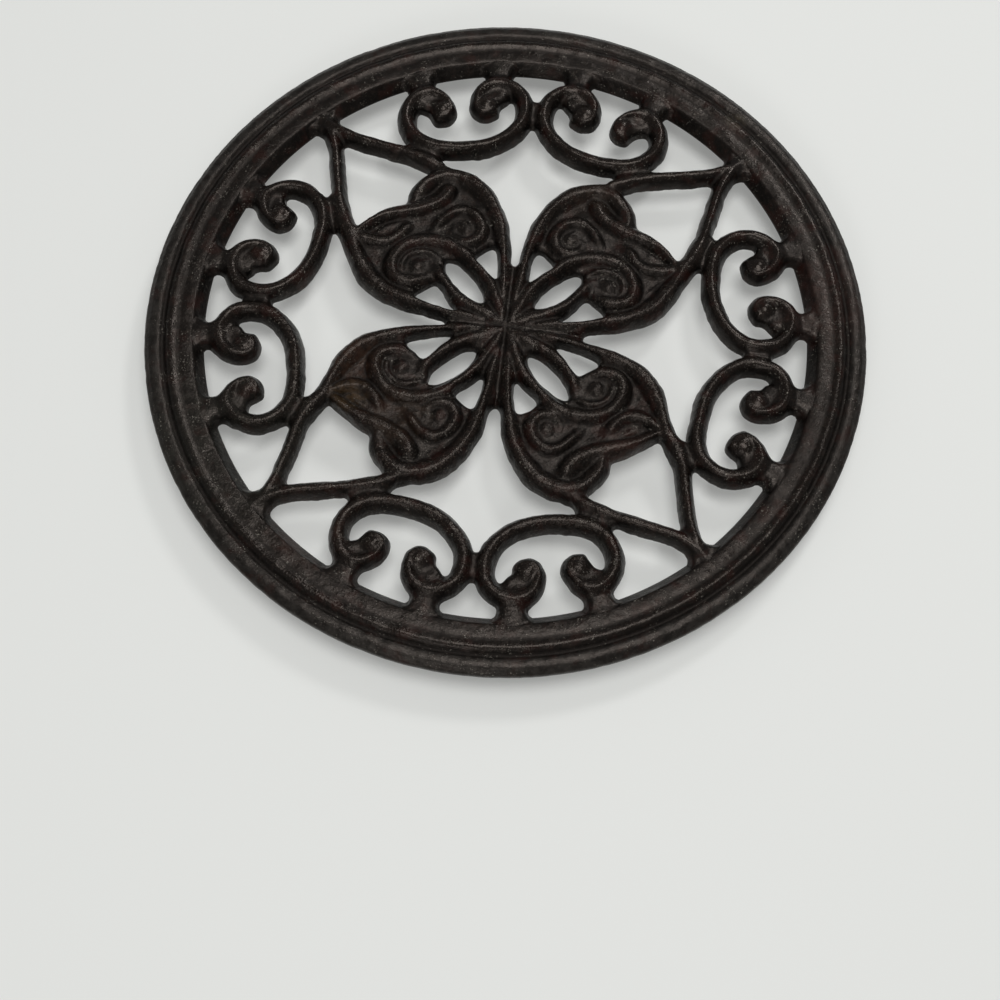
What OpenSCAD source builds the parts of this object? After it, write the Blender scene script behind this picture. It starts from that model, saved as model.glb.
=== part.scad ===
// Round openwork trivet of cast iron.
// One casting: a moulded rim on four short feet, eight C scrolls in pairs, four
// V braces and four carved petals round a hub. Each member is a solid of its own
// and meets its neighbours face to face.
// The origin is on the table under the middle, +Z up. Back is +Y, right is +X.

/* [Rim] */
// Diameter over the rim
rim_d = 200; // [140:5:300]
// Width of the rim, from its outer edge to the opening
rim_w = 16.5; // [10:0.5:24]
// Height of the rim's inner band over the underside
rim_h = 3.9; // [3:0.1:8]

/* [Lattice] */
// Width of a C scroll's bar
scroll_w = 5.8; // [4:0.1:8]
// Height of a C scroll's bar over the underside
scroll_h = 5.3; // [4:0.1:9]
// Width of a brace's bar
brace_w = 4.6; // [4:0.1:7]
// Height of a brace's bar over the underside
brace_h = 4.9; // [4:0.1:9]

/* [Petals] */
// Width of a petal's rib
rib_w = 5; // [4:0.1:6]
// Height of a petal's rib over the underside
rib_h = 5.2; // [4:0.1:9]
// Height of the sunk field between the ribs, over the underside
field_h = 2.8; // [2:0.1:3.8]
// Height of the solid root between the ribs near the hub, over the underside
root_h = 3.6; // [2:0.1:4]

/* [Hub] */
// Diameter of the hub
hub_d = 11; // [8:0.5:14]
// Height of the hub over the underside
hub_h = 5.6; // [4:0.1:9]

/* [Feet] */
// Height of a foot, from the table to the underside
foot_h = 8; // [3:0.5:20]
// Diameter of a foot where it leaves the rim
foot_d = 10; // [6:0.5:10]
// Diameter of the flat that a foot stands on
foot_tip_d = 8; // [4:0.5:10]

/* [Hidden] */

iron = "#33291f";
$fn = 180;

rim_r = rim_d / 2;
opening_r = rim_r - rim_w;
// The opening's radius on the drawing of the pattern, whose unit is the rim's radius
opening_share = 0.835;
pattern_r = opening_r / opening_share;
// How far a cutting shape runs past what it cuts
overrun = rim_w;
// Rings of a swept bar for each stretch between two of its places
rings_per_stretch = 2;
// Sides of a round knob, and of the hub where the petals meet it
knob_sides = 14;
hub_sides = 60;

// Section of the rim: share of its width from the opening outward, share of its height
rim_profile_shares = [
    [0, 0], [0.157, 0.95], [0.20, 1.0], [0.30, 1.02], [0.39, 0.96], [0.425, 0.88],
    [0.46, 1.03], [0.51, 1.13], [0.56, 1.14], [0.61, 1.06], [0.645, 0.93], [0.69, 0.84],
    [0.73, 0.93], [0.80, 0.93], [0.88, 0.86], [0.925, 0.78], [0.935, 0.66],
    [0.975, 0.60], [1, 0.48], [1, 0.10], [0.985, 0]];

// Section of a bar: share of its half width, share of its height
bar_profile_shares = [
    [-1, 0], [-0.94, 0.46], [-0.62, 0.86], [0, 1], [0.62, 0.86], [0.94, 0.46], [1, 0]];

// Section of a knob: share of its radius, share of its height
knob_profile_shares = [[0, 0], [1, 0], [0.94, 0.52], [0.62, 0.90], [0, 1]];

// Section of the hub: share of its radius, share of its height
hub_profile_shares = [[0, 0], [1, 0], [1, 0.8], [0.8, 0.93], [0.45, 1], [0, 1]];

// Each place below is for the back right quarter: share of the pattern's radius
// across and up the drawing, share of the bar's width, share of its height
scroll_bar_shares = [
    [0.165, 0.694, 0.5, 0.90], [0.178, 0.726, 0.7, 0.97], [0.158, 0.764, 0.85, 1],
    [0.115, 0.783, 0.9, 1], [0.070, 0.777, 0.95, 1], [0.037, 0.748, 1.05, 1],
    [0.026, 0.700, 1.1, 1], [0.050, 0.638, 1, 1], [0.110, 0.583, 1, 1],
    [0.185, 0.556, 1, 1], [0.262, 0.554, 1.15, 1], [0.326, 0.577, 1.15, 1],
    [0.362, 0.630, 1, 1], [0.358, 0.692, 1, 1], [0.327, 0.730, 0.9, 1],
    [0.286, 0.735, 0.8, 1], [0.252, 0.710, 0.7, 0.97], [0.250, 0.675, 0.5, 0.90]];
inner_web_shares = [
    [0.110, 0.770, 1.3, 0.78], [0.113, 0.810, 1.6, 0.74], [0.121, 0.880, 2.2, 0.69]];
outer_web_shares = [
    [0.312, 0.702, 1.2, 0.78], [0.333, 0.750, 1.5, 0.74], [0.364, 0.804, 2.0, 0.69]];
inner_knob_share = [0.144, 0.712];
outer_knob_share = [0.275, 0.682];
scroll_knob_r_share = 0.048;
scroll_knob_h_share = 0.88;

brace_leg_shares = [
    [0.228, 0.476, 1.15, 0.92], [0.300, 0.507, 1.3, 1], [0.390, 0.530, 1, 1],
    [0.480, 0.548, 1, 1], [0.555, 0.571, 1.15, 0.95], [0.630, 0.608, 1.4, 0.72]];

back_roll_shares = [
    [0.010, 0.035, 0.8, 1], [0.026, 0.130, 0.95, 1], [0.034, 0.215, 1, 1],
    [0.052, 0.315, 1, 1], [0.098, 0.408, 1.1, 1], [0.170, 0.461, 1.15, 1],
    [0.241, 0.461, 1.1, 1], [0.292, 0.417, 1, 1], [0.306, 0.358, 0.8, 0.85]];
side_roll_shares = [
    [0.035, 0.010, 0.8, 1], [0.130, 0.024, 0.95, 1], [0.215, 0.033, 1, 1],
    [0.310, 0.051, 1, 1], [0.390, 0.086, 1, 1], [0.443, 0.145, 1, 1],
    [0.466, 0.208, 1, 1], [0.493, 0.280, 0.95, 0.92]];
long_rib_shares = [
    [0.201, 0.430, 0.6, 0.9], [0.218, 0.383, 0.85, 1], [0.263, 0.345, 1.05, 1],
    [0.327, 0.331, 1.2, 1], [0.401, 0.302, 1.15, 1], [0.458, 0.247, 1, 0.95]];
tail_rib_shares = [
    [0.478, 0.252, 0.7, 0.95], [0.430, 0.228, 0.65, 0.92], [0.378, 0.233, 0.65, 0.92],
    [0.345, 0.262, 0.6, 0.9], [0.318, 0.303, 0.5, 0.88]];
eye_rib_shares = [
    [0.028, 0.018, 0.8, 1], [0.095, 0.048, 1, 1], [0.160, 0.090, 1, 1],
    [0.200, 0.145, 0.85, 1], [0.214, 0.212, 0.8, 0.95]];
big_volute_shares = [
    [0.022, 0.036, 0.8, 1], [0.075, 0.138, 1, 1], [0.135, 0.198, 1, 1],
    [0.200, 0.231, 0.95, 1], [0.270, 0.231, 0.85, 1], [0.325, 0.200, 0.8, 1],
    [0.344, 0.148, 0.8, 1], [0.312, 0.104, 0.8, 1], [0.258, 0.111, 0.75, 1],
    [0.233, 0.155, 0.6, 0.92]];
small_volute_shares = [
    [0.240, 0.262, 0.6, 0.88], [0.225, 0.308, 0.7, 0.95], [0.184, 0.343, 0.75, 1],
    [0.134, 0.343, 0.75, 1], [0.103, 0.305, 0.75, 1], [0.113, 0.259, 0.75, 1],
    [0.159, 0.247, 0.65, 0.95], [0.185, 0.266, 0.55, 0.9]];
big_knob_share = [0.280, 0.156];
big_knob_r_share = 0.037;
small_knob_share = [0.150, 0.291];
small_knob_r_share = 0.031;

// The field of a petal, along the middle of its rolls and the edges of its holes
field_shares = [
    [0.048, 0.262], [0.054, 0.325], [0.100, 0.408], [0.170, 0.459], [0.241, 0.459],
    [0.290, 0.417], [0.314, 0.366], [0.366, 0.329], [0.431, 0.283], [0.464, 0.245],
    [0.464, 0.208], [0.441, 0.145], [0.390, 0.088], [0.310, 0.053], [0.260, 0.047],
    [0.257, 0.076], [0.212, 0.112], [0.197, 0.140], [0.204, 0.180], [0.190, 0.214],
    [0.138, 0.202], [0.108, 0.207], [0.070, 0.246]];

// The solid root of a petal, from the hub to the near tips of its three holes
root_shares = [
    [0.012, 0.030], [0.028, 0.158], [0.050, 0.160], [0.075, 0.084], [0.154, 0.046],
    [0.158, 0.028], [0.030, 0.012]];

// The braces start across this line, where the places across and up add to it
petal_reach_share = 0.74;
// A scroll lies beyond the line through these two places
scroll_root_shares = [[0.235, 0.510], [0.375, 0.565]];
// A share that lies outside the rim
outside_share = 1.2;
// The rim's inner wall slopes out to its arris: share of its width, share of its height
arris_share = rim_profile_shares[1];

function spline_place(a, b, c, d, t) =
    (2 * b + (c - a) * t + (2 * a - 5 * b + 4 * c - d) * t * t
        + (3 * b - a - 3 * c + d) * t * t * t) / 2;

function spline(places, steps) = [
    for (i = [0 : len(places) - 2])
        let (a = places[max(i - 1, 0)], d = places[min(i + 2, len(places) - 1)])
        for (k = [0 : steps - 1])
            spline_place(a, places[i], places[i + 1], d, k / steps),
    places[len(places) - 1]];

function across(route, i) =
    let (ahead = route[min(i + 1, len(route) - 1)], behind = route[max(i - 1, 0)],
        along = [ahead.x - behind.x, ahead.y - behind.y])
    [-along.y, along.x] / norm(along);

// The section of a bar across one place of its route
module section(route, i, width, height) {
    side = across(route, i);
    half = route[i][2] * width / 2;
    points = [
        for (p = bar_profile_shares)
            [route[i].x * pattern_r + side.x * p.x * half,
                route[i].y * pattern_r + side.y * p.x * half,
                foot_h + p.y * height * route[i][3]]];
    polyhedron(points, [[for (k = [0 : len(points) - 1]) k]]);
}

// A half-round bar along a route of shares, flat on the underside
module bar(places, width, height) {
    route = spline(places, rings_per_stretch);
    for (i = [0 : len(route) - 2])
        hull() {
            section(route, i, width, height);
            section(route, i + 1, width, height);
        }
}

// A flat slab of the pattern on the underside
module slab(places, height) {
    translate([0, 0, foot_h])
        linear_extrude(height)
            polygon(places * pattern_r);
}

// A round knob that a curl or a volute ends in
module knob(place, radius, height) {
    translate([place.x * pattern_r, place.y * pattern_r, foot_h])
        rotate_extrude($fn = knob_sides)
            polygon([for (p = knob_profile_shares) [p.x * radius, p.y * height]]);
}

// A flat shape of the pattern, from the table to clear above the casting
module column(places) {
    linear_extrude(foot_h + scroll_h + overrun)
        polygon(places * pattern_r);
}

module rim_ring() {
    translate([0, 0, foot_h])
        rotate_extrude()
            polygon([for (p = rim_profile_shares) [opening_r + p.x * rim_w, p.y * rim_h]]);
}

// The room inside the rim, up its sloping wall to the arris
module inside_rim() {
    arris_r = opening_r + arris_share.x * rim_w;
    arris_z = arris_share.y * rim_h;
    top = scroll_h + overrun;
    translate([0, 0, foot_h])
        rotate_extrude()
            polygon([[0, 0], [opening_r, 0], [arris_r, arris_z], [arris_r, top], [0, top]]);
}

// Everything on the far side of the line where the scrolls and the braces part
module scroll_side() {
    root = scroll_root_shares[0];
    run = scroll_root_shares[1] - root;
    far = outside_share;
    column([[0, root.y - root.x * run.y / run.x], root + 2 * run, [far, far], [0, far]]);
}

module scroll() {
    color(iron)
    intersection() {
        union() {
            bar(scroll_bar_shares, scroll_w, scroll_h);
            bar(inner_web_shares, scroll_w, scroll_h);
            bar(outer_web_shares, scroll_w, scroll_h);
            knob(inner_knob_share, scroll_knob_r_share * pattern_r,
                scroll_knob_h_share * scroll_h);
            knob(outer_knob_share, scroll_knob_r_share * pattern_r,
                scroll_knob_h_share * scroll_h);
        }
        scroll_side();
        inside_rim();
    }
}

module brace() {
    reach = petal_reach_share;
    far = outside_share;
    color(iron)
    difference() {
        intersection() {
            union() {
                bar(brace_leg_shares, brace_w, brace_h);
                mirror([1, -1, 0])
                    bar(brace_leg_shares, brace_w, brace_h);
            }
            column([[0, reach], [reach, 0], [far, 0], [far, far], [0, far]]);
            inside_rim();
        }
        scroll_side();
        mirror([1, -1, 0])
            scroll_side();
    }
}

module petal() {
    reach = petal_reach_share;
    color(iron)
    difference() {
        intersection() {
            union() {
                slab(field_shares, field_h);
                slab(root_shares, root_h);
                bar(back_roll_shares, rib_w, rib_h);
                bar(side_roll_shares, rib_w, rib_h);
                bar(long_rib_shares, rib_w, rib_h);
                bar(tail_rib_shares, rib_w, rib_h);
                bar(eye_rib_shares, rib_w, rib_h);
                bar(big_volute_shares, rib_w, rib_h);
                bar(small_volute_shares, rib_w, rib_h);
                knob(big_knob_share, big_knob_r_share * pattern_r, rib_h);
                knob(small_knob_share, small_knob_r_share * pattern_r, rib_h);
            }
            column([[0, 0], [reach, 0], [0, reach]]);
        }
        cylinder(d = hub_d, h = foot_h + hub_h + overrun, $fn = hub_sides);
    }
}

module hub() {
    color(iron)
    translate([0, 0, foot_h])
        rotate_extrude()
            polygon([for (p = hub_profile_shares) [p.x * hub_d / 2, p.y * hub_h]]);
}

module rim() {
    color(iron)
    rim_ring();
}

// A foot under the rim, on the line of a brace
module foot() {
    middle = (rim_r + opening_r) / 2;
    color(iron)
    rotate([0, 0, 45])
        translate([middle, 0, 0])
            cylinder(d1 = foot_tip_d, d2 = foot_d, h = foot_h);
}

// The same member in each quarter: flipped across, flipped front to back
module to_left() { mirror([1, 0, 0]) children(); }
module to_front() { mirror([0, 1, 0]) children(); }
// A member of the back side moved to the right side, across the diagonal
module to_side() { mirror([1, -1, 0]) children(); }

rim();
hub();
petal();  // petal_back_right
to_left() petal();  // petal_back_left
to_left() to_front() petal();  // petal_front_left
to_front() petal();  // petal_front_right
brace();  // brace_back_right
to_left() brace();  // brace_back_left
to_left() to_front() brace();  // brace_front_left
to_front() brace();  // brace_front_right
scroll();  // scroll_back_right
to_left() scroll();  // scroll_back_left
to_left() to_side() scroll();  // scroll_left_back
to_left() to_front() to_side() scroll();  // scroll_left_front
to_left() to_front() scroll();  // scroll_front_left
to_front() scroll();  // scroll_front_right
to_front() to_side() scroll();  // scroll_right_front
to_side() scroll();  // scroll_right_back
foot();  // foot_back_right
to_left() foot();  // foot_back_left
to_left() to_front() foot();  // foot_front_left
to_front() foot();  // foot_front_right
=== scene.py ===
import bpy
import numpy as np
from mathutils import Matrix, Vector


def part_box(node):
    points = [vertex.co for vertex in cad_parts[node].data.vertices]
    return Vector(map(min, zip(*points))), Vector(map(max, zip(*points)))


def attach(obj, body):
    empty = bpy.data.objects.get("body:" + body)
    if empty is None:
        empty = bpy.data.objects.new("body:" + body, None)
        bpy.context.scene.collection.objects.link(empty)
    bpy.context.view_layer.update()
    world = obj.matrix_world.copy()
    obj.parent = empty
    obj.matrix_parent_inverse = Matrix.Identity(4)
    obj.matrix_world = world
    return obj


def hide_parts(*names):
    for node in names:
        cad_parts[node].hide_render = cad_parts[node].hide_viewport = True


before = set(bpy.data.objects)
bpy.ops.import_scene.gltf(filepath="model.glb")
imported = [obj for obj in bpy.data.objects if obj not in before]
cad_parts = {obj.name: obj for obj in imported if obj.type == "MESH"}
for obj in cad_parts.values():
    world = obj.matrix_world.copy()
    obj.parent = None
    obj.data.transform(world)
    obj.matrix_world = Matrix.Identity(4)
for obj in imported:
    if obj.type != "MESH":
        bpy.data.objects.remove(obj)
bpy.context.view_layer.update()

# Sizes in millimetres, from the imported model. Places of the pattern are shares of the rim's
# radius, and heights are in millimetres over the underside.
MM = 0.001
rim_low, rim_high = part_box("rim")
hub_low, hub_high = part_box("hub")
RIM_R = (rim_high.x - rim_low.x) / 2 / MM
HUB_R = (hub_high.x - hub_low.x) / 2 / MM
UNDERSIDE = rim_low.z / MM

# Grids: the drawing of one quarter, and the field that the casting is meshed from. The
# pattern reaches out to a share of the rim's radius, and the field's layers are flatter cells.
QUARTER_STEP = 0.25
STEP = 0.36
REACH_SHARE = 0.886
SPARE_CELLS = 12
GRID_SHIFT = 0.37
LAYERS = np.arange(-1.5, 18)
LAYER_SHARE = 0.9
LAYER_START = 0.13

# Roundings and slopes of the casting, in mm
DRAFT = 0.16
EDGE_ROUND = 1.5
ARRIS_ROUND = 0.6
BOTTOM_ROUND = 0.5
HOLE_ROUND = 0.8
FILLET_PLAN = 1.7
FILLET_RIM = 3.2
FILLET_TOP = 0.8
FILLET_DISC = 0.6
WALL_SLANT = 0.85
STEEPEST = 3

# Shapes of a bar's roof and of a rib's ridge, and how far out they are drawn, in half widths
ROOF_SOFT = 0.55
ROOF_END = 3.0
BELL_POWER = 1.25
RIDGE_END = 1.3

# How far outside its outline a member's flat top is still drawn, and half the width of the
# crown on a neck, in mm
TOP_MARGIN = 2
FIELD_MARGIN = 3
WEB_MARGIN = 1
NECK_CROWN_HALF = 4.5

# Where the pattern meets the rim, in mm: how far it lies inside the rim's skin there, how near
# the rim that starts, how deep the rim takes over, and the pattern's least height on the skin
SUNK = 0.05
SUNK_REACH = 1.0
RIM_DEPTH = 0.35
RIM_SKIN = 0.06
LEAST_RISE = 0.04

# Where the members' edges sharpen towards the rim, as shares of its radius
SHARPER_FROM_SHARE = 0.82
SHARPER_OVER_SHARE = 0.04

# Distances in mm: farther than anything, and how far round a route it is worked out
FAR = 50.0
ROUTE_REACH = 12.0

# The mirror images that a member is drawn in, as factors on x and y
ONCE = ((1, 1),)
BOTH_SIDES = ((1, 1), (-1, 1))
NEIGHBOURS_TOO = ((1, 1), (-1, 1), (1, -1))

# Places of the members, in shares of the rim's radius, for the back right quarter.
# A row is x, y and, where it isn't 1, a factor on the bar's width.
SCROLL_BAR = [
    (0.120, 0.692, 0.7), (0.140, 0.681, 0.7), (0.161, 0.686, 0.75), (0.172, 0.708, 0.8),
    (0.168, 0.744, 0.9), (0.146, 0.774), (0.107, 0.786), (0.067, 0.775), (0.038, 0.747),
    (0.027, 0.702), (0.033, 0.662), (0.055, 0.624), (0.090, 0.592), (0.135, 0.569),
    (0.185, 0.556), (0.232, 0.551), (0.275, 0.553), (0.312, 0.564), (0.343, 0.586),
    (0.364, 0.618), (0.370, 0.655), (0.361, 0.692), (0.339, 0.720), (0.311, 0.731, 0.95),
    (0.281, 0.723, 0.88), (0.257, 0.703, 0.8), (0.247, 0.677, 0.75), (0.258, 0.656, 0.7),
    (0.280, 0.650, 0.7)]
INNER_HEAD = (0.144, 0.708)
OUTER_HEAD = (0.273, 0.679)
INNER_FILL = (0.128, 0.748)
OUTER_FILL = (0.304, 0.700)
INNER_NECK = [(0.112, 0.750), (0.114, 0.80), (0.118, 0.835), (0.124, 0.90)]
OUTER_NECK = [(0.318, 0.705), (0.334, 0.748), (0.352, 0.784), (0.382, 0.84)]
PAIR_TIE = [(0.0, 0.676), (0.0, 0.728)]

LEG = [
    (0.214, 0.462), (0.250, 0.487), (0.300, 0.508), (0.345, 0.521), (0.390, 0.531),
    (0.435, 0.540), (0.480, 0.549), (0.520, 0.559), (0.556, 0.573, 1.05),
    (0.590, 0.592, 1.15), (0.620, 0.612, 1.2)]
LEG_ROOT = [
    (0.256, 0.490), (0.275, 0.480), (0.315, 0.505), (0.360, 0.540), (0.330, 0.560),
    (0.276, 0.543), (0.255, 0.520)]

BACK_ROLL = [
    (0.006, 0.030, 0.8), (0.016, 0.090, 0.85), (0.024, 0.150, 0.85), (0.032, 0.210, 0.85),
    (0.041, 0.270, 0.9), (0.055, 0.325), (0.078, 0.373), (0.103, 0.407, 1.1),
    (0.135, 0.437, 1.15), (0.170, 0.453, 1.15), (0.205, 0.461, 1.1), (0.240, 0.456, 1.1),
    (0.270, 0.438), (0.292, 0.412), (0.303, 0.385), (0.306, 0.362, 0.8)]
SIDE_ROLL = [
    (0.030, 0.006, 0.8), (0.090, 0.015, 0.8), (0.150, 0.026, 0.85), (0.200, 0.036, 0.9),
    (0.250, 0.046), (0.300, 0.057), (0.346, 0.073), (0.379, 0.092, 1.1),
    (0.406, 0.117, 1.1), (0.427, 0.144, 1.1), (0.444, 0.172), (0.456, 0.200),
    (0.467, 0.225), (0.478, 0.252), (0.495, 0.285), (0.511, 0.320)]
S_RIB = [
    (0.204, 0.440, 0.8), (0.210, 0.412), (0.219, 0.388), (0.237, 0.367), (0.262, 0.352),
    (0.297, 0.336), (0.340, 0.323), (0.383, 0.309), (0.413, 0.293), (0.438, 0.272),
    (0.460, 0.248)]
TAIL_RIB = [
    (0.478, 0.252), (0.450, 0.234), (0.414, 0.226), (0.380, 0.225), (0.351, 0.234),
    (0.330, 0.254), (0.314, 0.282), (0.300, 0.312)]
LENS_LIP = [(0.300, 0.303), (0.325, 0.296), (0.352, 0.285), (0.380, 0.270), (0.402, 0.252)]
LOWER_EYE_RIB = [
    (0.008, 0.006, 0.9), (0.060, 0.033, 1.1), (0.100, 0.050), (0.135, 0.069), (0.165, 0.091),
    (0.189, 0.118), (0.206, 0.148), (0.217, 0.178), (0.222, 0.205)]
UPPER_EYE_RIB = [
    (0.006, 0.012, 0.8), (0.030, 0.068, 0.95), (0.055, 0.120), (0.084, 0.157), (0.116, 0.192),
    (0.150, 0.219), (0.185, 0.236), (0.220, 0.243), (0.255, 0.242), (0.288, 0.233),
    (0.314, 0.215), (0.332, 0.190), (0.341, 0.162), (0.338, 0.135), (0.322, 0.116),
    (0.296, 0.108), (0.266, 0.110), (0.240, 0.124), (0.229, 0.140)]
BIG_CURL = [
    (0.208, 0.190, 0.7), (0.228, 0.200, 0.8), (0.252, 0.206, 0.9), (0.278, 0.202),
    (0.299, 0.189), (0.311, 0.168), (0.311, 0.145), (0.298, 0.127, 0.8)]
SMALL_VOLUTE = [
    (0.243, 0.270, 0.7), (0.232, 0.294, 0.8), (0.215, 0.316, 0.9), (0.196, 0.336, 0.9),
    (0.174, 0.348), (0.150, 0.350), (0.128, 0.339), (0.112, 0.320, 1.1), (0.104, 0.298, 1.2),
    (0.107, 0.275, 1.2), (0.121, 0.257, 1.1), (0.143, 0.249), (0.166, 0.254),
    (0.181, 0.270, 0.9), (0.181, 0.290, 0.8)]
NOTCH_BAND = [(0.246, 0.380), (0.268, 0.368), (0.294, 0.362), (0.314, 0.368)]
BIG_DOME = (0.270, 0.157)
SMALL_DOME = (0.148, 0.289)

FIELD = [
    (0.030, 0.015), (0.100, 0.022), (0.200, 0.038), (0.300, 0.057), (0.378, 0.092),
    (0.428, 0.140), (0.455, 0.197), (0.468, 0.240), (0.440, 0.285), (0.378, 0.338),
    (0.322, 0.366), (0.303, 0.400), (0.260, 0.448), (0.205, 0.461), (0.136, 0.436),
    (0.078, 0.373), (0.048, 0.300), (0.032, 0.210), (0.016, 0.090), (0.015, 0.030)]
BACK_HOLE = [
    (0.047, 0.156), (0.049, 0.205), (0.060, 0.246), (0.080, 0.244), (0.110, 0.212),
    (0.078, 0.182)]
SIDE_HOLE = [
    (0.148, 0.038), (0.180, 0.076), (0.209, 0.114), (0.233, 0.105), (0.264, 0.072),
    (0.208, 0.048)]
EYE = [
    (0.074, 0.076), (0.082, 0.110), (0.106, 0.143), (0.137, 0.170), (0.166, 0.188),
    (0.191, 0.190), (0.187, 0.161), (0.166, 0.130), (0.136, 0.102), (0.103, 0.080)]

# Hollows of a petal's field: place, radius in mm and depth in mm
HOLLOWS = [
    ((0.265, 0.397), 5.5, 1.1), ((0.272, 0.290), 4.5, 0.5), ((0.378, 0.293), 3.6, 1.0),
    ((0.420, 0.262), 3.2, 0.8), ((0.390, 0.170), 6.0, 0.8), ((0.365, 0.100), 4.0, 0.5),
    ((0.160, 0.410), 6.0, 0.6), ((0.068, 0.305), 3.5, 0.5)]

# Heights in mm: a petal's field, and what its ribs and its rolled edges rise from
FIELD_TOP = 3.0
RIB_FLOOR = 2.0
ROLL_FLOOR = 2.2

# The hub, in mm: its disc, how strongly the ribs' ends are drawn to one height and how far
# out, and the grooves along the axes. Its radii are shares of the hub's radius.
HUB_PLAN_SHARE = 1.1
HUB_DISC_SHARE = 1.6
HUB_TOP = 2.8
HUB_FILLET = 1.2
CALM_SHARE = 0.45
CALM_TOP = 4.0
CALM_RADIUS, CALM_FADE = 6.5, 5.5
GROOVE_DEPTH = 0.45
GROOVE_WIDTH = 1.1
GROOVE_RADIUS, GROOVE_FADE = 6.0, 4.0

# Lines between the nodes, in shares of the rim's radius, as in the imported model
PETAL_LINE = 0.74
SCROLL_LINE = ((0.235, 0.510), (0.375, 0.565))
SCROLL_FLOOR = 0.505
CORNER = 1.2

# Where the hand-cut pattern lies off its true place: place as shares of the rim's radius,
# reach of the shift in mm, and the shift in mm
DRIFTS = [
    ((0.50, -0.24), 7.0, (0.0, -3.4)), ((-0.50, -0.24), 7.0, (0.0, -2.9)),
    ((0.27, 0.67), 5.0, (-2.0, 0.0)), ((-0.27, 0.67), 5.0, (1.0, 0.0))]

# How far out from the centre the ribs of two neighbouring petals run together: the axis, and
# the end as a share of the rim's radius. Widths, heights and roundings are in mm.
AXIS_WEBS = [((1, 0), 0.226), ((-1, 0), 0.177), ((0, 1), 0.210), ((0, -1), 0.248)]
WEB_START_HALF = 0.6
WEB_WIDENING = 0.13
WEB_NOTCH_DEPTH = 1.0
WEB_NOTCH_BEND = 0.25
WEB_TOP = 1.8
WEB_ROUND = 1.0

# Section of the rim: radius share and height in mm, from the inner wall outward
RIM_SECTION = [
    (0.8375, 0.0), (0.8610, 3.25), (0.8640, 3.60), (0.8680, 3.78), (0.8780, 3.90),
    (0.8900, 3.92), (0.8990, 3.84), (0.9060, 3.78), (0.9120, 3.98), (0.9180, 4.28),
    (0.9240, 4.42), (0.9300, 4.34), (0.9360, 3.95), (0.9410, 3.35), (0.9450, 2.85),
    (0.9490, 2.72), (0.9530, 3.02), (0.9580, 3.42), (0.9660, 3.58), (0.9780, 3.42),
    (0.9850, 3.14), (0.9885, 2.80), (0.9930, 2.46), (0.9975, 2.12), (1.0000, 1.60),
    (1.0000, 0.50), (0.9965, 0.0)]
RIM_PITCH = 0.45
RIM_SIDES = 640
NECK_FALL_SHARE = 0.83
NECK_FALL = 0.8
PATTERN_END_SHARE = 0.864
PATTERN_FALL = 1.2

# Section of a foot: shares of its radius and of its height, from the middle of the tip round
FOOT_SECTION = [
    (0.02, 0.0), (0.73, 0.0), (0.78, 0.0075), (0.81, 0.03), (0.82, 0.0875), (0.85, 0.375),
    (0.88, 0.65), (0.92, 0.85), (0.97, 0.95), (1.00, 1.0), (1.00, 1.03125), (0.02, 1.03125)]
FOOT_PITCH = 0.5
FOOT_SIDES = 72

# Unevenness of the sand casting: depth in mm, size of the waves in mm, and seed
TOP_WAVES = [(0.10, 9.0, 4), (0.045, 3.2, 5)]
PLAN_WAVES = [(0.15, 9.0, 3), (0.08, 3.5, 6)]
OUTER_EDGE_WAVE = (0.10, 6.0, 11)

# How many waves are summed, how far their lengths spread as shares of the size, and what
# their sum is divided by
WAVE_COUNT = 20
WAVE_SPREAD = (0.6, 1.4)
WAVE_SUM = 6.0

# Where the rim is uneven: its outer edge by share of the radius, over its base in mm, and its
# top from a height in mm, each growing over a short way
UNEVEN_FROM_SHARE, UNEVEN_OVER_SHARE = 0.95, 0.05
RIM_BASE = 0.2
UNEVEN_HEIGHT, UNEVEN_RISE = 2.2, 1.2

# The meshing: a piece's part under this share of it is left out, and the limits within which
# a place is drawn to the surface: the least slope squared, the longest move, and how far out
# of its cell a place may go, both in cells
SPECK_SHARE = 1 / 20
LEAST_SLOPE = 0.2
LONGEST_MOVE = 0.4
CELL_MARGIN = 0.15

# Colours of the iron: in the lows, with dirt and painted shade, on worn crests, brown mottle,
# red rust, the rim's grey band, painted shade and soot in creases, pits, grains of sand with
# painted glints, and dust
LOW_IRON_AND_SHADE = (0.0011, 0.0009, 0.0008)
WORN_IRON = (0.0040, 0.0026, 0.0020)
BROWN = (0.0120, 0.0080, 0.0062)
RED_RUST = (0.0130, 0.0036, 0.0026)
GREY_BAND = (0.0170, 0.0160, 0.0145)
SHADE_AND_SOOT = (0.0010, 0.0008, 0.0007)
PIT = (0.0016, 0.0012, 0.0010)
SAND_AND_GLINTS = (0.090, 0.067, 0.053)
DUST = (0.17, 0.158, 0.135)

# Noises of the iron: scale per metre, detail and roughness
BROAD_NOISE = (70, 3, 0.5)
PATCH_NOISE = (160, 4, 0.6)
CLOUD_NOISE = (230, 2, 0.5)
COARSE_NOISE = (330, 3, 0.55)
MOTTLE_NOISE = (420, 4, 0.65)
GRAIN_NOISE = (1100, 3, 0.6)
FLECK_NOISE = (2000, 2, 0.7)
SAND_NOISE = (2600, 2, 0.6)

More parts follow.
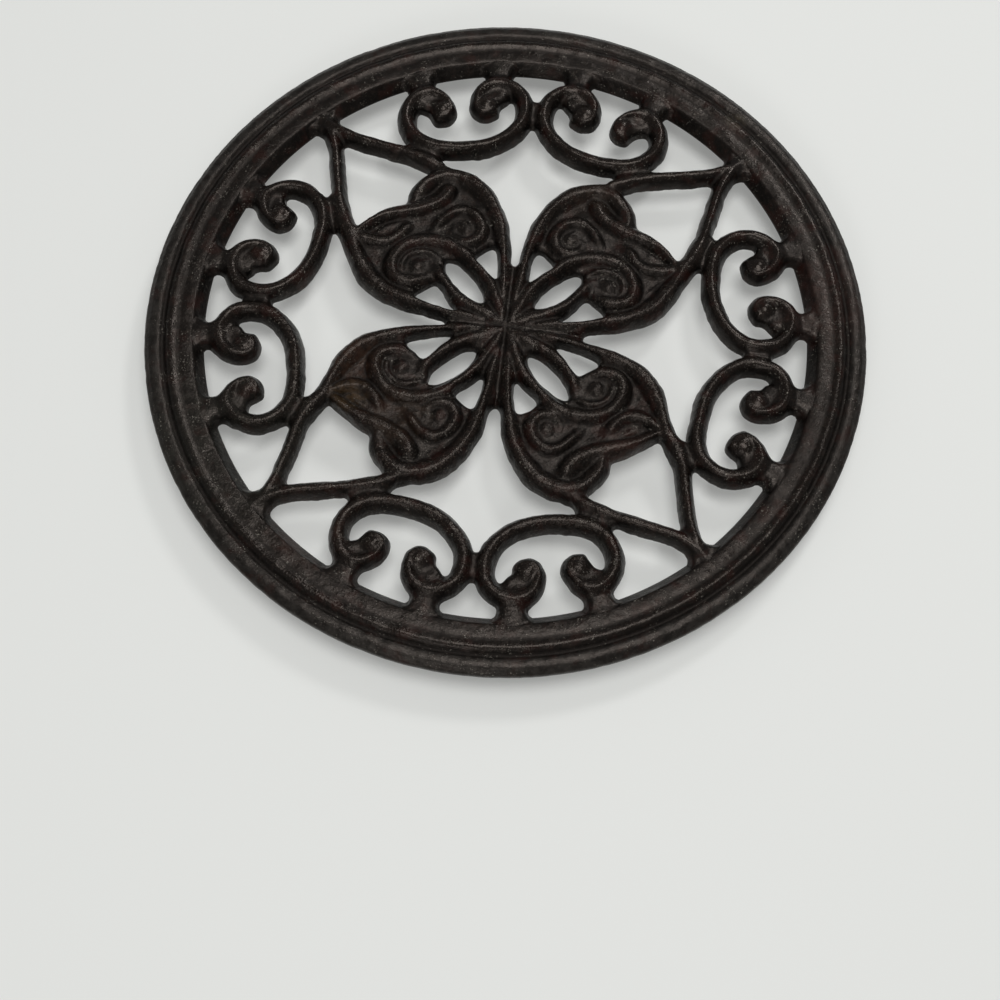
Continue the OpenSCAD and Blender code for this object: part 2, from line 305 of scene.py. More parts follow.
# Spans of a noise or a mask: where it sets in, where it is full and, where they aren't 0 and
# 1, its values there. The last value of a tint's span is the tint's own strength.
CREASE_SPAN = (0.494, 0.470)
MOTTLE_SPAN = (0.52, 0.68, 0.0, 0.7)
PATCH_SPAN = (0.50, 0.68, 0.0, 0.8)
BAND_SPAN = (0.38, 0.62, 0.15, 0.8)
TINT_SPAN = (0.36, 0.62, 0.1)
PIT_SPAN = (0.42, 0.26, 0.0, 0.7)
# The pale specks of sand and painted glints: where they set in, and their shares on crests and
# towards the middle
SAND_AND_GLINTS_SPAN = (0.59, 0.70)
SAND_AND_GLINTS_ON_CRESTS = (0.0, 1.0, 0.25, 0.55)
SAND_AND_GLINTS_INWARD = (0.0, 1.0, 0.35, 1.0)
FLECK_SPAN = (0.61, 0.69)
CLOUD_SPAN = (0.50, 0.62, 0.1, 0.9)
ROUGH_SPAN = (0.3, 0.7, 0.31, 0.19)
DULL_LOWS = (0.0, 1.0, 0.12, 0.0)
# How strongly painted shade and soot darken the creases, and how much duller they are
CREASE_DARKNESS = 0.8
CREASE_DULLNESS = 0.3

# Depths in mm of the cast grain's bumps, and how much of them is left far from the middle
COARSE_DEPTH = 0.42
GRAIN_DEPTH = 0.17
SAND_DEPTH = 0.06
CALM_GRAIN = 0.5

# Worn crests over shaded lows: the heights in mm between which the lows' dirt and painted shade
# give way to wear, and how far noise shifts them
WEAR_AND_SHADE_HEIGHTS = (4.2, 6.2)
WEAR_AND_SHADE_SHIFT = 2.0

# Shine of the oiled iron
SHINE_LEVEL = 0.26
SHINE_TINT = (1.0, 0.87, 0.78)

# Tints in places of the casting: place in mm over the table, reach in mm, strength, colour
TINTS = [
    ((-40, -26, 11), 7, 0.7, (0.044, 0.025, 0.010)),
    # The second tint, greyer, on the front left of the rim, is painted sheen with grey specks.
    ((-72, -45, 11), 34, 0.6, (0.010, 0.0105, 0.0085)),
    ((-41, -14, 11), 12, 0.6, (0.030, 0.014, 0.008)),
    ((-26, -30, 11), 12, 0.5, (0.026, 0.015, 0.009)),
    ((36, -33, 11), 9, 0.5, (0.030, 0.011, 0.008)),
    ((-45, -65, 11), 14, 0.5, (0.026, 0.011, 0.008)),
    ((20, 45, 11), 10, 0.4, (0.020, 0.012, 0.008)),
    ((88, 20, 11), 18, 0.5, (0.024, 0.009, 0.007)),
    ((58, 74, 12), 4, 0.45, (0.075, 0.064, 0.044))]

# Where the cast grain is roughest: place in mm over the table, and reach in mm. The middle
# of such a spot, up to this share of its reach, is even.
SANDY_PLACE, SANDY_REACH = (-8, -20, 11), 95
SPOT_CORE_SHARE = 0.35

# The grey band on the rim, as shares of its radius, and the height it is measured from
BAND_SHARES = (0.950, 0.965)
BAND_HEIGHT = 3.5

# Floor: side in metres, colour, roughness, and how much of what the camera sees of it is its
# own pale colour, which makes the shadows lighter
FLOOR_SIDE = 6
FLOOR_COLOUR = (0.80, 0.81, 0.785)
FLOOR_ROUGHNESS = 0.7
FLOOR_GLOW = (0.735, 0.745, 0.725)
GLOW_SHARE = 0.3

# Lamps: place and size in metres, and power in watts. Each one aims at the frame's origin.
LAMPS = {
    "ceiling": ((0.10, -0.06, 1.40), 0.8, 10.0),
    "window": ((0.40, 0.80, 0.90), 0.26, 3.6),
    "front": ((-0.15, -1.10, 0.75), 0.4, 2.2)}
WORLD_STRENGTH = 0.25

# Camera: place in metres, its right and up directions, and its lens and sensor in mm
CAMERA_PLACE = (0.023966, -0.237050, 0.483437)
CAMERA_RIGHT = (0.9927, 0.1207, 0.0068)
CAMERA_UP = (-0.11481, 0.92281, 0.36775)
CAMERA_LENS = 68.54
CAMERA_SENSOR = 36


def smooth_max(a, b, k):
    """The larger of two values, rounded over where they are within k of each other."""
    h = np.maximum(k - np.abs(a - b), 0) / k
    return np.maximum(a, b) + h * h * k / 4


def smooth_min(a, b, k):
    return -smooth_max(-a, -b, k)


def smooth_step(t):
    t = np.clip(t, 0, 1)
    return t * t * (3 - 2 * t)


def roof(u):
    """A ridge with a rounded crest: 0 on the crest, 1 at the edge and rising on beyond it."""
    return (np.sqrt(u * u + ROOF_SOFT * ROOF_SOFT) - ROOF_SOFT) \
        / (np.sqrt(1 + ROOF_SOFT * ROOF_SOFT) - ROOF_SOFT)


def bell(u):
    """A soft ridge: 1 on the crest, 0 at its foot and beyond."""
    return np.clip(1 - u * u, 0, 1) ** BELL_POWER


def end_shares(along, ends, fade):
    """Height along a route as a share: each end has its own, which runs up to 1 within fade."""
    return (ends[0] + (1 - ends[0]) * smooth_step(along / fade)) \
        * (ends[1] + (1 - ends[1]) * smooth_step((1 - along) / fade))


def spline(rows, steps=6):
    """A Catmull-Rom curve through the rows."""
    p = np.array([tuple(r) + (1.0,) * (3 - len(r)) for r in rows], float)
    a = np.vstack([p[:1], p[:-1]])[:-1]
    b, c = p[:-1], p[1:]
    d = np.vstack([p[2:], p[-1:]])
    t = (np.arange(steps) / steps)[None, :, None]
    a, b, c, d = (v[:, None, :] for v in (a, b, c, d))
    q = (2 * b + (c - a) * t + (2 * a - 5 * b + 4 * c - d) * t ** 2
         + (3 * b - a - 3 * c + d) * t ** 3) / 2
    return np.vstack([q.reshape(-1, 3), p[-1:]])


def to_bar(x, y, rows):
    """For each place: distance to the route in mm, the side it is on, the width factor and
    how far along the route it is, from 0 to 1."""
    route = spline(rows)
    xy = route[:, :2] * RIM_R
    lengths = np.hypot(*(xy[1:] - xy[:-1]).T)
    ends = np.concatenate([[0], np.cumsum(lengths)])
    near = np.full(x.shape, FAR)
    side = np.ones(x.shape)
    factor = np.ones(x.shape)
    along = np.zeros(x.shape)
    for i in range(len(xy) - 1):
        p, q = xy[i], xy[i + 1]
        low, high = np.minimum(p, q) - ROUTE_REACH, np.maximum(p, q) + ROUTE_REACH
        k = np.nonzero((x > low[0]) & (x < high[0]) & (y > low[1]) & (y < high[1]))
        if not len(k[0]):
            continue
        d = q - p
        rx, ry = x[k] - p[0], y[k] - p[1]
        t = np.clip((rx * d[0] + ry * d[1]) / (d @ d), 0, 1)
        dist = np.hypot(rx - t * d[0], ry - t * d[1])
        better = dist < near[k]
        k = tuple(v[better] for v in k)
        t, dist, rx, ry = t[better], dist[better], rx[better], ry[better]
        near[k] = dist
        side[k] = np.sign(d[0] * ry - d[1] * rx)
        factor[k] = route[i, 2] + (route[i + 1, 2] - route[i, 2]) * t
        along[k] = (ends[i] + t * lengths[i]) / ends[-1]
    return near, side, factor, along


def inside_polygon(x, y, rows):
    """Signed distance in mm to a closed curve through the rows, positive inside."""
    closed = [rows[-1]] + list(rows) + [rows[0], rows[1]]
    steps = 5
    loop = spline(closed, steps)[steps:-steps, :2] * RIM_R
    near = np.full(x.shape, FAR)
    inside = np.zeros(x.shape, bool)
    for p, q in zip(loop, np.roll(loop, -1, axis=0)):
        d = q - p
        if not (d @ d):
            continue
        t = np.clip(((x - p[0]) * d[0] + (y - p[1]) * d[1]) / (d @ d), 0, 1)
        near = np.minimum(near, np.hypot(x - p[0] - t * d[0], y - p[1] - t * d[1]))
        crosses = (p[1] > y) != (q[1] > y)
        with np.errstate(divide="ignore", invalid="ignore"):
            at = d[0] * (y - p[1]) / d[1] + p[0]
        inside ^= crosses & (x < at)
    return np.where(inside, near, -near)


class Relief:
    """The casting's plan and top, built up member by member on a grid of places. The plan is
    the distance inside the metal's outline, and the top is its height, both in mm."""

    def __init__(self, x, y):
        self.x, self.y = x, y
        self.plan = np.full(x.shape, -FAR)
        self.top = np.full(x.shape, -FAR)

    def places(self, swap=False, flip=(1, 1)):
        """The grid's places, with x and y swapped or mirrored."""
        x, y = (self.y, self.x) if swap else (self.x, self.y)
        return x * flip[0], y * flip[1]

    def away(self, place, swap=False):
        """Distance in mm from a place given in shares of the rim's radius."""
        x, y = self.places(swap)
        return np.hypot(x - place[0] * RIM_R, y - place[1] * RIM_R)

    def widen_to(self, plan, fillet=FILLET_PLAN):
        self.plan = smooth_max(self.plan, plan, fillet)

    def raise_to(self, top, fillet=FILLET_TOP):
        self.top = smooth_max(self.top, top, fillet)

    def bar(self, rows, left, right, high, drop, ends=(1, 1), fade=0.12, swap=False, flips=ONCE):
        """A bar with a roof-shaped top. left and right are its half widths."""
        for flip in flips:
            near, side, factor, along = to_bar(*self.places(swap, flip), rows)
            half = np.where(side > 0, left, right)
            crest = high * end_shares(along, ends, fade)
            self.widen_to(half * factor - near)
            self.raise_to(crest - drop * roof(np.minimum(near / (half * factor), ROOF_END)))

    def rib(self, rows, left, right, high, ends=(1, 1), fade=0.12):
        """A soft ridge on a petal's field. left and right are its half widths."""
        near, side, factor, along = to_bar(self.x, self.y, rows)
        u = near / (np.where(side > 0, left, right) * factor)
        ridge = (high - RIB_FLOOR) * end_shares(along, ends, fade) * bell(u)
        self.raise_to(np.where(u < RIDGE_END, RIB_FLOOR + ridge, -FAR))

    def roll(self, rows, outer, inner, high, drop, ends, fade, left_out=True, flips=ONCE):
        """The raised edge of a petal: a steep rounded outer side and a soft inner side."""
        for flip in flips:
            near, side, factor, along = to_bar(*self.places(flip=flip), rows)
            crest = high * end_shares(along, ends, fade)
            edge = crest - drop * roof(np.minimum(near / (outer * factor), ROOF_END))
            u = near / (inner * factor)
            soft = np.where(u < RIDGE_END, ROLL_FLOOR + (crest - ROLL_FLOOR) * bell(u), -FAR)
            self.raise_to(np.where((side > 0) == left_out, edge, soft))
            self.widen_to(outer * factor - near)

    def neck(self, rows, half, high, crown, reach, fillet, swap):
        """A low bar that is flat on top but for a soft crown."""
        near, _, _, _ = to_bar(*self.places(swap), rows)
        self.widen_to(half - near)
        top = high + crown * bell(near / NECK_CROWN_HALF)
        self.raise_to(np.where(near < reach, top, -FAR), fillet)

    def bump(self, place, radius, high, low=RIB_FLOOR, swap=False):
        u = self.away(place, swap) / radius
        self.raise_to(np.where(u < RIDGE_END, low + (high - low) * bell(u), -FAR))

    def dent(self, place, radius, depth):
        self.top = self.top - depth * bell(self.away(place) / radius)

    def disc(self, place, radius, high, swap=False):
        near = self.away(place, swap)
        self.widen_to(radius - near, FILLET_DISC)
        self.raise_to(np.where(near < radius + TOP_MARGIN, high, -FAR))

    def slab(self, rows, high, fillet, swap):
        inside = inside_polygon(*self.places(swap), rows)
        self.widen_to(inside)
        self.raise_to(np.where(inside > -TOP_MARGIN, high, -FAR), fillet)


def draw_scroll(r, swap):
    """A C scroll with its heads and necks, and the leg of the brace beside it."""
    r.bar(SCROLL_BAR, left=3.05, right=2.7, high=5.3, drop=2.3, ends=(0.85, 0.85), swap=swap,
          flips=BOTH_SIDES)
    for head, fill in ((INNER_HEAD, INNER_FILL), (OUTER_HEAD, OUTER_FILL)):
        r.disc(fill, radius=3.0, high=3.1, swap=swap)
        r.disc(head, radius=4.3, high=3.4, swap=swap)
        r.bump(head, radius=4.6, high=5.3, low=2.6, swap=swap)
    for rows in (INNER_NECK, OUTER_NECK):
        r.neck(rows, half=3.7, high=2.9, crown=0.9, reach=8, fillet=1.4, swap=swap)
    r.neck(PAIR_TIE, half=1.3, high=3.5, crown=0.0, reach=5, fillet=1.6, swap=swap)
    r.bar(LEG, left=2.2, right=2.75, high=4.9, drop=1.9, ends=(0.85, 0.75), fade=0.2, swap=swap)
    r.slab(LEG_ROOT, high=3.5, fillet=1.8, swap=swap)


def draw_petal(x, y):
    """A petal: its hollowed field, rolled edges, ribs, two volutes and three holes."""
    petal = Relief(x, y)
    petal.plan = inside_polygon(x, y, FIELD)
    petal.top = np.where(petal.plan > -FIELD_MARGIN, FIELD_TOP, -FAR)
    for place, radius, depth in HOLLOWS:
        petal.dent(place, radius, depth)
    edge = dict(outer=2.7, inner=3.3, high=5.1, drop=2.0, fade=0.16, flips=NEIGHBOURS_TOO)
    petal.roll(BACK_ROLL, ends=(0.68, 0.8), **edge)
    petal.roll(SIDE_ROLL, ends=(0.68, 0.95), left_out=False, **edge)
    petal.rib(S_RIB, left=3.9, right=2.9, high=5.1, ends=(0.5, 0.95))
    petal.rib(TAIL_RIB, left=2.7, right=2.7, high=4.7, ends=(0.9, 0.3), fade=0.25)
    petal.rib(LENS_LIP, left=1.4, right=2.4, high=3.3, ends=(0.2, 0.2), fade=0.3)
    petal.roll(LOWER_EYE_RIB, outer=2.2, inner=2.9, high=4.9, drop=1.2, ends=(1, 0.4), fade=0.25)
    petal.rib(UPPER_EYE_RIB, left=3.0, right=3.0, high=5.1, ends=(1, 0.5), fade=0.1)
    petal.bump(BIG_DOME, radius=6.6, high=3.5)
    petal.rib(BIG_CURL, left=1.9, right=1.9, high=4.2, ends=(0.6, 0.5), fade=0.2)
    petal.bump(BIG_DOME, radius=3.6, high=4.4)
    petal.bump(SMALL_DOME, radius=6.2, high=3.4)
    petal.rib(SMALL_VOLUTE, left=2.5, right=2.5, high=4.7, ends=(0.3, 0.5), fade=0.15)
    petal.bump(SMALL_DOME, radius=3.6, high=4.3)
    petal.rib(NOTCH_BAND, left=2.4, right=2.4, high=3.8, ends=(0.8, 0.8))
    for hole in (BACK_HOLE, SIDE_HOLE, EYE):
        petal.plan = smooth_min(petal.plan, -inside_polygon(x, y, hole), HOLE_ROUND)
    return petal


def draw_hub(r):
    """The knot at the centre, with the ribs' ends drawn to one height and parted by grooves."""
    near = np.hypot(r.x, r.y)
    r.widen_to(HUB_R * HUB_PLAN_SHARE - near)
    r.raise_to(np.where(near < HUB_R * HUB_DISC_SHARE, HUB_TOP, -FAR), HUB_FILLET)
    calm = CALM_SHARE * smooth_step((CALM_RADIUS - near) / CALM_FADE)
    r.top = r.top + calm * (CALM_TOP - r.top) * (r.top > RIB_FLOOR)
    groove = GROOVE_DEPTH * bell(np.minimum(r.x, r.y) / GROOVE_WIDTH)
    r.top = r.top - groove * smooth_step((GROOVE_RADIUS - near) / GROOVE_FADE)


def draw_quarter():
    """Plan and top of the back right quarter of the pattern, on its own grid."""
    count = int(REACH_SHARE * RIM_R / QUARTER_STEP) + SPARE_CELLS
    axis = np.arange(count) * QUARTER_STEP
    r = Relief(*np.meshgrid(axis, axis, indexing="ij"))
    for swap in (False, True):
        draw_scroll(r, swap)
    petal = draw_petal(r.x, r.y)
    r.widen_to(petal.plan)
    r.raise_to(petal.top)
    draw_hub(r)
    return r.plan, r.top


def sample_quarter(values, x, y):
    """Values of the quarter's drawing at any place of the pattern, mirrored into it."""
    last = values.shape[0] - 1.001
    at = [np.minimum(np.abs(v) / QUARTER_STEP, last) for v in (x, y)]
    i, j = (v.astype(int) for v in at)
    u, v = at[0] - i, at[1] - j
    return (values[i, j] * (1 - u) * (1 - v) + values[i + 1, j] * u * (1 - v)
            + values[i, j + 1] * (1 - u) * v + values[i + 1, j + 1] * u * v)


def wave(x, y, deep, size, seed):
    """Smooth seeded noise, about this deep, with bumps of about this size in mm."""
    rng = np.random.default_rng(seed)
    total = np.zeros(np.broadcast(x, y).shape)
    for _ in range(WAVE_COUNT):
        angle, phase = rng.uniform(0, 2 * np.pi, 2)
        k = 2 * np.pi / size * rng.uniform(*WAVE_SPREAD)
        total = total + np.cos(k * (np.cos(angle) * x + np.sin(angle) * y) + phase)
    return deep * (total / WAVE_SUM)


def lift(x, y):
    """Unevenness of the cast top in mm, the same on every piece."""
    return sum(wave(x, y, *row) for row in TOP_WAVES)


def drifted(x, y):
    """Where on the true pattern a place of the casting comes from."""
    dx, dy = 0.0, 0.0
    for (cx, cy), reach, (sx, sy) in DRIFTS:
        w = np.exp(-((x - cx * RIM_R) ** 2 + (y - cy * RIM_R) ** 2) / (reach * reach))
        dx = dx + sx * w
        dy = dy + sy * w
    return x - dx, y - dy


def axis_web(x, y, axis, end):
    """Plan of the web between two petals: a widening strip along the axis with a bowed end."""
    along = x * axis[0] + y * axis[1]
    across = np.abs(x * axis[1] - y * axis[0])
    end_line = end * RIM_R - WEB_NOTCH_DEPTH + WEB_NOTCH_BEND * across ** 2 - along
    sides = WEB_START_HALF + WEB_WIDENING * along - across
    return np.where(along > 0, smooth_min(end_line, sides, WEB_ROUND), -FAR)


def pattern(x, y):
    """Plan and top of the casting at places in mm."""
    plan, top = draw_quarter()
    px, py = drifted(x, y)
    plan = sample_quarter(plan, px, py)
    for row in PLAN_WAVES:
        plan = plan + wave(x, y, *row)
    top = sample_quarter(top, px, py) + lift(x, y)
    for axis, end in AXIS_WEBS:
        web = axis_web(x, y, axis, end)
        plan = smooth_max(plan, web, FILLET_PLAN)
        top = smooth_max(top, np.where(web > -WEB_MARGIN, WEB_TOP, -FAR), WEB_ROUND)
    beyond = np.maximum(np.hypot(x, y) - PATTERN_END_SHARE * RIM_R, 0)
    return plan, top - PATTERN_FALL * beyond


def node_of(x, y):
    """Name of the member that a place of the pattern belongs to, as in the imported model."""
    ax, ay = np.abs(x) / RIM_R, np.abs(y) / RIM_R
    (x0, y0), (x1, y1) = SCROLL_LINE
    slope = (y1 - y0) / (x1 - x0)
    turn = (x0 + 2 * (x1 - x0), y0 + 2 * (y1 - y0))

    def beyond(a, b):
        to_corner = turn[1] + (a - turn[0]) * (CORNER - turn[1]) / (CORNER - turn[0])
        line = np.where(a < turn[0], y0 + (a - x0) * slope, to_corner)
        return b > np.maximum(line, SCROLL_FLOOR)

    back, side = beyond(ax, ay), beyond(ay, ax)
    lean = np.where(x >= 0, "right", "left")
    deep = np.where(y >= 0, "back", "front")
    quarter = np.char.add(np.char.add(deep, "_"), lean)
    sideways = np.char.add(np.char.add(lean, "_"), deep)
    names = np.char.add("brace_", quarter).astype(object)
    petal = ax + ay < PETAL_LINE
    names[petal] = np.char.add("petal_", quarter)[petal]
    names[back] = np.char.add("scroll_", quarter)[back]
    names[side] = np.char.add("scroll_", sideways)[side]
    names[np.hypot(x, y) < HUB_R] = "hub"
    return names


def rim_top(r):
    """Height of the rim's top at a radius in mm, falling away inside the ring."""
    section = np.array(RIM_SECTION[1:-3])
    inside = np.maximum(NECK_FALL_SHARE * RIM_R - r, 0)
    return np.interp(r / RIM_R, section[:, 0], section[:, 1]) - NECK_FALL * inside


def rim_wall(z):
    """Radius of the rim's sloping inner wall at a height."""
    section = np.array(RIM_SECTION[:2])
    return np.interp(z, section[:, 1], section[:, 0] * RIM_R)


def body(plan, top, x, y, z3):
    """Field of the ring with a pattern inside it, below zero where there is iron."""
    r = np.hypot(x, y)
    crest = smooth_max(top, rim_top(r) + lift(x, y), FILLET_TOP)
    tx, ty = np.gradient(crest, x[1, 0] - x[0, 0])
    lean = np.sqrt(1 + np.clip(tx ** 2 + ty ** 2, 0, STEEPEST ** 2))
    up = (z3 - crest[..., None]) / lean[..., None]
    members = plan[..., None] - DRAFT * z3
    ring = (r[..., None] - rim_wall(z3)) * WALL_SLANT
    out = -smooth_max(members, ring, FILLET_RIM)
    sharper = smooth_step((r / RIM_R - SHARPER_FROM_SHARE) / SHARPER_OVER_SHARE)
    edge = EDGE_ROUND + (ARRIS_ROUND - EDGE_ROUND) * sharper
    return smooth_max(up, out, edge[..., None])


def build_field():
    """The casting as a field on a grid, in mm and below zero inside, and a label for each node:
    0 for air, the nodes' numbers, and one more for the rim, which is made by itself."""
    n = int(REACH_SHARE * RIM_R / STEP) + 1
    axis = (np.arange(-n, n + 1) + GRID_SHIFT) * STEP
    x, y = np.meshgrid(axis, axis, indexing="ij")
    z = LAYERS * STEP * LAYER_SHARE + LAYER_START
    z3 = z[None, None, :]
    plan, top = pattern(x, y)
    whole = body(plan, top, x, y, z3)
    nothing = np.full(x.shape, -FAR)
    ring = body(nothing, nothing, x, y, z3)
    f = smooth_max(whole, -z3, BOTTOM_ROUND) + SUNK * (ring < SUNK_REACH)

    names = node_of(x, y)
    found = sorted(set(names.ravel()))
    number = {name: i + 1 for i, name in enumerate(found)}
    numbers = np.vectorize(number.get)(names)
    label = np.where(f < 0, numbers[..., None], 0)
    rim_alone = (ring < RIM_SKIN) & (ring - whole < LEAST_RISE)
    label[(f < 0) & ((ring < -RIM_DEPTH) | rim_alone)] = len(found) + 1
    return f, label, found, (axis[0], axis[0], z[0]), (STEP, STEP, z[1] - z[0])


def specks(mask):
    """The loose parts of a mask that are a small share of it, seen from above."""
    flat = mask.any(2)
    left = flat.copy()
    small = np.zeros_like(left)
    while left.any():
        part = np.zeros_like(left)
        part[np.unravel_index(np.argmax(left), left.shape)] = True
        size = 0
        while size < part.sum():
            size = part.sum()
            grown = part.copy()
            grown[1:] |= part[:-1]
            grown[:-1] |= part[1:]
            grown[:, 1:] |= part[:, :-1]
            grown[:, :-1] |= part[:, 1:]
            part = grown & left
        if size < flat.sum() * SPECK_SHARE:
            small |= part
        left &= ~part
    return mask & small[..., None]


# A grid cell's corners, and the pairs of corners that its edges join
CORNERS = [(i, j, k) for i in (0, 1) for j in (0, 1) for k in (0, 1)]
EDGES = [(a, b) for a in range(8) for b in range(a + 1, 8)
         if sum(abs(p - q) for p, q in zip(CORNERS[a], CORNERS[b])) == 1]


def mixed_cells(label):
    """The cells whose corners differ in label, and a grid with each cell's number, or -1."""
    nx, ny, nz = (n - 1 for n in label.shape)
    same = np.ones((nx, ny, nz), bool)
    for i, j, k in CORNERS[1:]:
        same &= label[i:i + nx, j:j + ny, k:k + nz] == label[:nx, :ny, :nz]
    cells = np.argwhere(~same)
    index = np.full((nx, ny, nz), -1)
    index[tuple(cells.T)] = np.arange(len(cells))
    return cells, index


def crossing_places(f, label, cells):
    """A place for each cell, in grid steps, and whether it is on the outside. It is the mean of
    where the cell's edges meet air or, where none does, of where they meet another piece."""
    fc = np.stack([f[tuple((cells + c).T)] for c in CORNERS], 1)
    lc = np.stack([label[tuple((cells + c).T)] for c in CORNERS], 1)
    total, inner_total = np.zeros((2, len(cells), 3))
    count, inner_count = np.zeros((2, len(cells)))
    for a, b in EDGES:
        differ = lc[:, a] != lc[:, b]
        outer = differ & ((lc[:, a] == 0) | (lc[:, b] == 0))
        inner = differ & ~outer
        crossed = outer & (fc[:, a] * fc[:, b] < 0)
        t = np.full(len(cells), 0.5)
        t[crossed] = fc[crossed, a] / (fc[crossed, a] - fc[crossed, b])
        p, q = np.array(CORNERS[a]), np.array(CORNERS[b])
        at = p + t[:, None] * (q - p)
        total[outer] += at[outer]
        count[outer] += 1
        inner_total[inner] += at[inner]
        inner_count[inner] += 1
    is_outer = count > 0
    local = np.where(is_outer[:, None], total / np.maximum(count, 1)[:, None],
                     inner_total / np.maximum(inner_count, 1)[:, None])
    return cells + local, is_outer


def interpolate(values, at):
    """A grid's values at places given in grid steps."""
    low = np.clip(np.floor(at).astype(int), 0, np.array(values.shape) - 2)
    w = at - low
    total = 0
    for c in CORNERS:
        weight = np.prod([w[:, i] if c[i] else 1 - w[:, i] for i in range(3)], axis=0)
        total = total + weight * values[tuple((low + c).T)]
    return total


def label_quads(label, index):
    """For each label, its quads as numbers of cells, and whether each quad is on the outside."""
    quads = {}
    for axis in range(3):
        u, v = (axis + 1) % 3, (axis + 2) % 3
        forward = np.eye(3, dtype=int)[axis]
        ahead = [slice(None)] * 3
        ahead[axis] = slice(1, None)
        behind = [slice(None)] * 3
        behind[axis] = slice(None, -1)
        differ = np.argwhere(label[tuple(behind)] != label[tuple(ahead)])
        within = (differ[:, u] > 0) & (differ[:, u] < label.shape[u] - 1) \
            & (differ[:, v] > 0) & (differ[:, v] < label.shape[v] - 1)
        differ = differ[within]
        before = label[tuple(differ.T)]
        after = label[tuple((differ + forward).T)]
        ring = []
        for du, dv in ((-1, -1), (0, -1), (0, 0), (-1, 0)):
            cell = differ.copy()
            cell[:, u] += du
            cell[:, v] += dv
            ring.append(index[tuple(cell.T)])
        quad = np.stack(ring, 1)
        outside = (before == 0) | (after == 0)
        for number in np.unique(np.concatenate([before, after])):
            if number == 0:
                continue
            m = before == number
            quads.setdefault(number, []).append((quad[m], outside[m]))
            m = after == number
            quads[number].append((quad[m][:, ::-1], outside[m]))
    return {number: (np.vstack([q for q, _ in parts]), np.concatenate([o for _, o in parts]))
            for number, parts in quads.items()}


def surface_nets(f, label, origin, step):
    """Places in mm, their normals and, for each label, its quads and whether each is outside."""
    cells, index = mixed_cells(label)
    at, is_outer = crossing_places(f, label, cells)
    spacing = np.array(step)
    slopes = np.gradient(f, *step)
    for _ in range(2):
        outer = at[is_outer]
        slope = np.stack([interpolate(g, outer) for g in slopes], 1)
        value = interpolate(f, outer)
        steep = np.maximum((slope ** 2).sum(1), LEAST_SLOPE)
        move = -value[:, None] * slope / steep[:, None] / spacing
        moved = outer + np.clip(move, -LONGEST_MOVE, LONGEST_MOVE)
        low = cells[is_outer] - CELL_MARGIN
        at[is_outer] = np.clip(moved, low, low + (1 + 2 * CELL_MARGIN))
    normal = np.stack([interpolate(g, at) for g in slopes], 1)
    normal /= np.maximum(np.linalg.norm(normal, axis=1), 1e-9)[:, None]
    return np.array(origin) + at * spacing, normal, label_quads(label, index)


def new_mesh(name, places, faces, normals=None, outside=None):
    """A mesh from arrays in mm over the underside, with normals kept on its outer faces."""
    used = np.unique(faces)
    renumber = np.full(len(places), -1)
    renumber[used] = np.arange(len(used))
    faces = renumber[faces]
    at = places[used] * MM
    at[:, 2] += UNDERSIDE * MM
    mesh = bpy.data.meshes.new(name)
    mesh.vertices.add(len(at))
    mesh.vertices.foreach_set("co", at.astype(np.float32).ravel())
    sides = faces.shape[1]
    mesh.loops.add(faces.size)
    mesh.loops.foreach_set("vertex_index", faces.astype(np.int32).ravel())
    mesh.polygons.add(len(faces))
    mesh.polygons.foreach_set("loop_start", np.arange(0, faces.size, sides, dtype=np.int32))
    mesh.update(calc_edges=True)
    mesh.validate()
    mesh.shade_smooth()
    if normals is not None:
        flat = np.zeros((len(mesh.polygons), 3), np.float32)
        mesh.polygons.foreach_get("normal", flat.reshape(-1))
        kept = normals[used][faces]
        corner = np.where(outside[:, None, None], kept, flat[:, None, :])
        mesh.normals_split_custom_set(corner.reshape(-1, 3).tolist())
    made = bpy.data.objects.new(name, mesh)
    bpy.context.scene.collection.objects.link(made)
    return made


def make_casting():
    """Every member of the pattern, as one closed piece for each node."""
    f, label, found, origin, step = build_field()
    for i in range(1, len(found) + 1):
        label[specks(label == i)] = 0
    places, normal, quads = surface_nets(f, label, origin, step)
    pieces = {}
    for i, name in enumerate(found):
        faces, outside = quads[i + 1]
        pieces[name] = new_mesh("cast_" + name, places, faces, normal, outside)
    return pieces


def turned(name, section, around, centre=(0.0, 0.0), shape=None):
    """A closed piece turned from a section of radius and height in mm. shape moves its places."""
    turn = np.arange(around) / around * 2 * np.pi
    r = np.repeat(section[:, 0][None, :], around, 0)
    z = np.repeat(section[:, 1][None, :], around, 0)
    c, s = np.cos(turn)[:, None], np.sin(turn)[:, None]
    if shape:
        r, z = shape(r, z, c, s)
    places = np.stack([r * c + centre[0], r * s + centre[1], z], -1).reshape(-1, 3)
    count = len(section)
    i, j = np.meshgrid(np.arange(around), np.arange(count), indexing="ij")
    here, beside = i * count, ((i + 1) % around) * count
    up = (j + 1) % count
    faces = np.stack([here + j, beside + j, beside + up, here + up], -1).reshape(-1, 4)
    return new_mesh(name, places, faces[:, ::-1])


def finer(section, pitch):
    """The section's places with others put between them, about the pitch apart."""
    fine = []
    for p, q in zip(section, np.roll(section, -1, axis=0)):
        n = max(1, int(np.hypot(*(q - p)) / pitch))
        fine += [p + (q - p) * k / n for k in range(n)]
    return np.array(fine)


def make_rim():
    """The moulded ring, turned from its section and made uneven as a sand casting is."""
    section = finer(np.array(RIM_SECTION) * (RIM_R, 1), RIM_PITCH)

    def shape(r, z, c, s):
        x, y = r * c, r * s
        outer = smooth_step((r / RIM_R - UNEVEN_FROM_SHARE) / UNEVEN_OVER_SHARE) * (z > RIM_BASE)
        r = r - outer * np.abs(wave(x, y, *OUTER_EDGE_WAVE))
        return r, z + smooth_step((z - UNEVEN_HEIGHT) / UNEVEN_RISE) * lift(x, y)

    return turned("cast_rim", section, RIM_SIDES, shape=shape)


